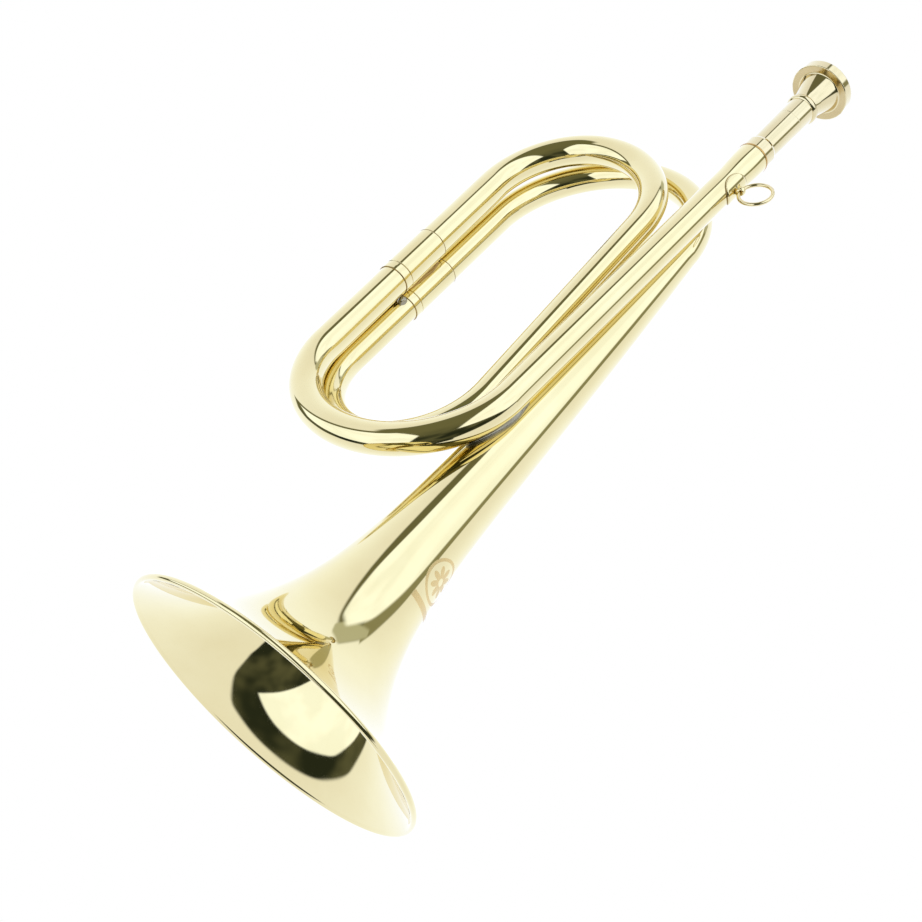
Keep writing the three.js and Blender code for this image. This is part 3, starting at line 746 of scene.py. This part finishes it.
# ---- Studio ----
CAMERA_AT = Vector((290.9, -359.5, -118.1))
LOOK_AT = Vector((-10.54, 0, 119.65))
ROLL = math.radians(42.658)
FOCAL_SHARE = 1409.8 / 922  # focal length over the picture's width
OFF_X, OFF_Y = -0.0019, 0.0040
FLOOR_DARK, FLOOR_LIGHT = (0.783, 0.713, 0.533), (0.839, 0.768, 0.576)


def view_axes():
    forward = (LOOK_AT - CAMERA_AT).normalized()
    right = forward.cross(UP).normalized()
    upward = right.cross(forward)
    c, s = math.cos(ROLL), math.sin(ROLL)
    return right * c + upward * s, upward * c - right * s, forward


def make_camera():
    right, upward, forward = view_axes()
    data = bpy.data.cameras.new("camera")
    data.sensor_width = 36
    data.lens = data.sensor_width * FOCAL_SHARE
    data.shift_x = OFF_X
    data.shift_y = OFF_Y
    data.clip_start = 0.01
    data.clip_end = 50
    camera = bpy.data.objects.new("camera", data)
    turn = Matrix((right, upward, -forward)).transposed().to_4x4()
    camera.matrix_world = Matrix.Translation(place(CAMERA_AT)) @ turn
    bpy.context.scene.collection.objects.link(camera)
    bpy.context.scene.camera = camera


def make_floor():
    """A wide pale floor, well below the camera, which the polished brass doesn't reflect."""
    half, level = 20.0, -0.45
    corners = [(-half, -half, level), (half, -half, level), (half, half, level), (-half, half, level)]
    mesh = bpy.data.meshes.new("floor")
    mesh.from_pydata(corners, [], [(0, 1, 2, 3)])
    floor = bpy.data.objects.new("floor", mesh)
    bpy.context.scene.collection.objects.link(floor)
    floor.visible_glossy = False
    mat = bpy.data.materials.new("floor_paint")
    mat.use_nodes = True
    tree = mat.node_tree
    bsdf = tree.nodes["Principled BSDF"]
    bsdf.inputs["Roughness"].default_value = 0.8
    coord = tree.nodes.new("ShaderNodeTexCoord")
    speck = noise_node(tree, coord.outputs["Object"], 3.0, 4.0, 0.6)
    color = layer(tree, FLOOR_DARK, FLOOR_LIGHT, speck)
    tree.links.new(color, bsdf.inputs["Base Color"])
    mesh.materials.append(mat)


def studio_plan(tree, vector):
    """Places on the studio's plan, and how far each direction leans to the camera's side. The plan has
    the camera's side at its middle, and the sine of half the angle from there as the distance."""
    right, upward, forward = view_axes()
    lean = dot_node(tree, vector, -forward)
    scale = math_node(tree, "SQRT", math_node(tree, "MULTIPLY_ADD", lean, 2.0, 2.00001))
    x = math_node(tree, "DIVIDE", dot_node(tree, vector, right), scale)
    y = math_node(tree, "DIVIDE", dot_node(tree, vector, upward), scale)
    return x, y, lean


def outline_mask(tree, x, y, corners, soft):
    """1 inside a convex outline on the studio's plan, 0 outside, with soft edges."""
    cx = sum(c[0] for c in corners) / len(corners)
    cy = sum(c[1] for c in corners) / len(corners)
    total = None
    for k, (ax, ay) in enumerate(corners):
        bx, by = corners[(k + 1) % len(corners)]
        nx, ny = by - ay, ax - bx
        length = math.hypot(nx, ny)
        nx, ny = nx / length, ny / length
        if (cx - ax) * nx + (cy - ay) * ny < 0:
            nx, ny = -nx, -ny
        far = math_node(tree, "MULTIPLY_ADD", x, nx, -(ax * nx + ay * ny))
        far = math_node(tree, "MULTIPLY_ADD", y, ny, far)
        edge = smooth_node(tree, far, -soft / 2, soft / 2)
        total = edge if total is None else math_node(tree, "MULTIPLY", total, edge)
    return total


# Outlines on the studio's plan: the dim room in two overlapping parts, the two lamps, and the
# side of the right lamp's case.
ROOM_LEFT = [(-0.85, 0.12), (-0.80, 0.32), (-0.30, 0.40), (0.0, 0.40), (0.15, -0.5), (-0.155, -0.53)]
ROOM_LEFT += [(-0.31, -0.505), (-0.455, -0.42), (-0.605, -0.322), (-0.73, -0.195), (-0.82, -0.03)]
ROOM_RIGHT = [(-0.38, 0.38), (-0.33, 0.52), (-0.22, 0.622), (-0.05, 0.656), (0.10, 0.663), (0.42, 0.662)]
ROOM_RIGHT += [(0.62, 0.60), (0.70, 0.36), (0.70, 0.08), (0.60, -0.16), (0.47, -0.24), (0.32, -0.42)]
ROOM_RIGHT += [(0.11, -0.53), (-0.2, -0.5)]
CASE = [(0.56, 0.44), (0.70, 0.42), (0.70, 0.06), (0.63, -0.10), (0.58, -0.04)]
CASE_TOP = [(0.44, 0.66), (0.52, 0.665), (0.62, 0.60), (0.70, 0.36), (0.60, 0.34), (0.50, 0.58)]
LAMP_LEFT = [(-0.78, 0.10), (-0.76, 0.27), (-0.31, 0.305), (-0.20, 0.04), (-0.232, -0.40)]
LAMP_LEFT += [(-0.378, -0.345), (-0.52, -0.258), (-0.644, -0.155), (-0.744, 0.0)]
LAMP_RIGHT = [(0.055, -0.03), (0.045, 0.42), (0.06, 0.555), (0.13, 0.608), (0.25, 0.63), (0.42, 0.64)]
LAMP_RIGHT += [(0.53, 0.58), (0.61, 0.38), (0.635, 0.12), (0.60, -0.02), (0.50, -0.09)]
WALL_NEAR, WALL = (1.007, 1.085, 1.423), (1.145, 1.274, 1.708)
ROOM_DEEP, ROOM_DIM, ROOM_HAZE = (0.023, 0.03, 0.023), (0.106, 0.116, 0.084), (0.164, 0.172, 0.114)
CASE_GREY, CASE_LIT = (0.297, 0.31, 0.233), (0.551, 0.598, 0.595)
LAMP_EDGE, LAMP = (1.188, 1.351, 1.863), (1.315, 1.484, 2.096)


def make_world():
    """A white table and walls all round, and in front a dim room with two large soft lamps."""
    world = bpy.data.worlds.new("studio")
    bpy.context.scene.world = world
    world.use_nodes = True
    tree = world.node_tree
    tree.nodes.clear()
    out = tree.nodes.new("ShaderNodeOutputWorld")
    seen = tree.nodes.new("ShaderNodeBackground")
    lit = tree.nodes.new("ShaderNodeBackground")
    choose = tree.nodes.new("ShaderNodeMixShader")
    path = tree.nodes.new("ShaderNodeLightPath")
    tree.links.new(path.outputs["Is Camera Ray"], choose.inputs["Fac"])
    tree.links.new(lit.outputs["Background"], choose.inputs[1])
    tree.links.new(seen.outputs["Background"], choose.inputs[2])
    tree.links.new(choose.outputs["Shader"], out.inputs["Surface"])
    seen.inputs["Color"].default_value = (1, 1, 1, 1)
    vector = tree.nodes.new("ShaderNodeTexCoord").outputs["Generated"]
    x, y, lean = studio_plan(tree, vector)
    cloud = noise_node(tree, vector, 2.6, 2.0, 0.5)
    room = layer(tree, ROOM_DEEP, ROOM_DIM, smooth_node(tree, cloud, 0.38, 0.68))
    room = layer(tree, room, ROOM_HAZE, smooth_node(tree, y, -0.2, 0.3))
    color = layer(tree, WALL, WALL_NEAR, smooth_node(tree, lean, -0.7, 0.1))
    color = layer(tree, color, room, outline_mask(tree, x, y, ROOM_LEFT, 0.018))
    color = layer(tree, color, room, outline_mask(tree, x, y, ROOM_RIGHT, 0.03))
    color = layer(tree, color, CASE_GREY, outline_mask(tree, x, y, CASE, 0.02))
    color = layer(tree, color, CASE_LIT, outline_mask(tree, x, y, CASE_TOP, 0.02))
    glow = layer(tree, LAMP_EDGE, LAMP, smooth_node(tree, cloud, 0.35, 0.6))
    color = layer(tree, color, glow, outline_mask(tree, x, y, LAMP_LEFT, 0.016))
    color = layer(tree, color, glow, outline_mask(tree, x, y, LAMP_RIGHT, 0.03))
    tree.links.new(color, lit.inputs["Color"])


make_camera()
make_floor()
make_world()
scene = bpy.context.scene
scene.view_settings.view_transform = "Standard"
scene.view_settings.look = "None"
